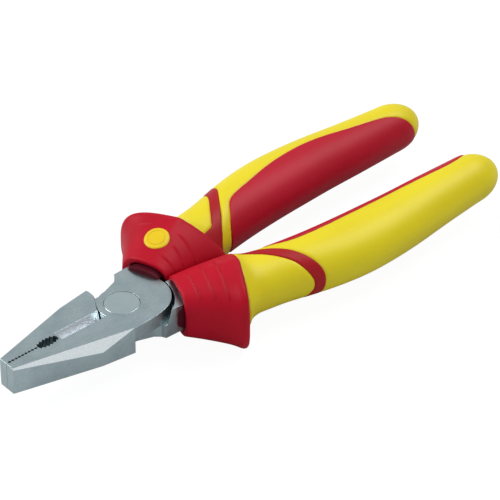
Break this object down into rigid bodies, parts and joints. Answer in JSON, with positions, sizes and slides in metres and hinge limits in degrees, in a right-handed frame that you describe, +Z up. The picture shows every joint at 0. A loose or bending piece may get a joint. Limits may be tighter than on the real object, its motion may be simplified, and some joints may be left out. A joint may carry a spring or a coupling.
{
  "type": "insulated combination pliers",
  "caption": "Lineman combination pliers with a lap joint, serrated gripping jaws, pipe grip, side cutter and flared insulated two-colour handles.",
  "frame": {"origin": "centre of the bottom of the bounding box, on the surface the tool lies on", "axes": "+X from the jaws to the handle ends, +Y towards the handle of the upper lever, +Z up along the pivot"},
  "size_m": [0.1798, 0.0612, 0.0247],
  "materials": {
    "forged_steel": "fine satin ground and plated",
    "rivet_steel": "ground flush with the plate",
    "yellow_shell": "satin moulded",
    "red_guard": "satin moulded",
    "dark_sleeve": "smooth moulded",
    "red_pad": "soft matte",
    "yellow_inlay": "satin moulded"
  },
  "bodies": {
    "lower_half": {"lower_lever": "forged_steel", "lower_handle_core": "yellow_shell", "lower_tang_sleeve": "dark_sleeve", "lower_guard": "red_guard", "lower_grip_pad": "red_pad", "lower_arc_band": "red_guard", "lower_badge": "yellow_inlay", "pivot_rivet": "rivet_steel"},
    "upper_half": {"upper_lever": "forged_steel", "upper_handle_core": "yellow_shell", "upper_tang_sleeve": "dark_sleeve", "upper_guard": "red_guard", "upper_grip_pad": "red_pad", "upper_arc_band": "red_guard", "upper_badge": "yellow_inlay"}
  },
  "joints": [
    {"name": "jaw_pivot", "type": "hinge", "parent": "lower_half", "child": "upper_half", "pos_m": [-0.04674, 0, 0.01237], "axis": [0, 0, 1], "range_deg": [0, 40]}
  ]
}
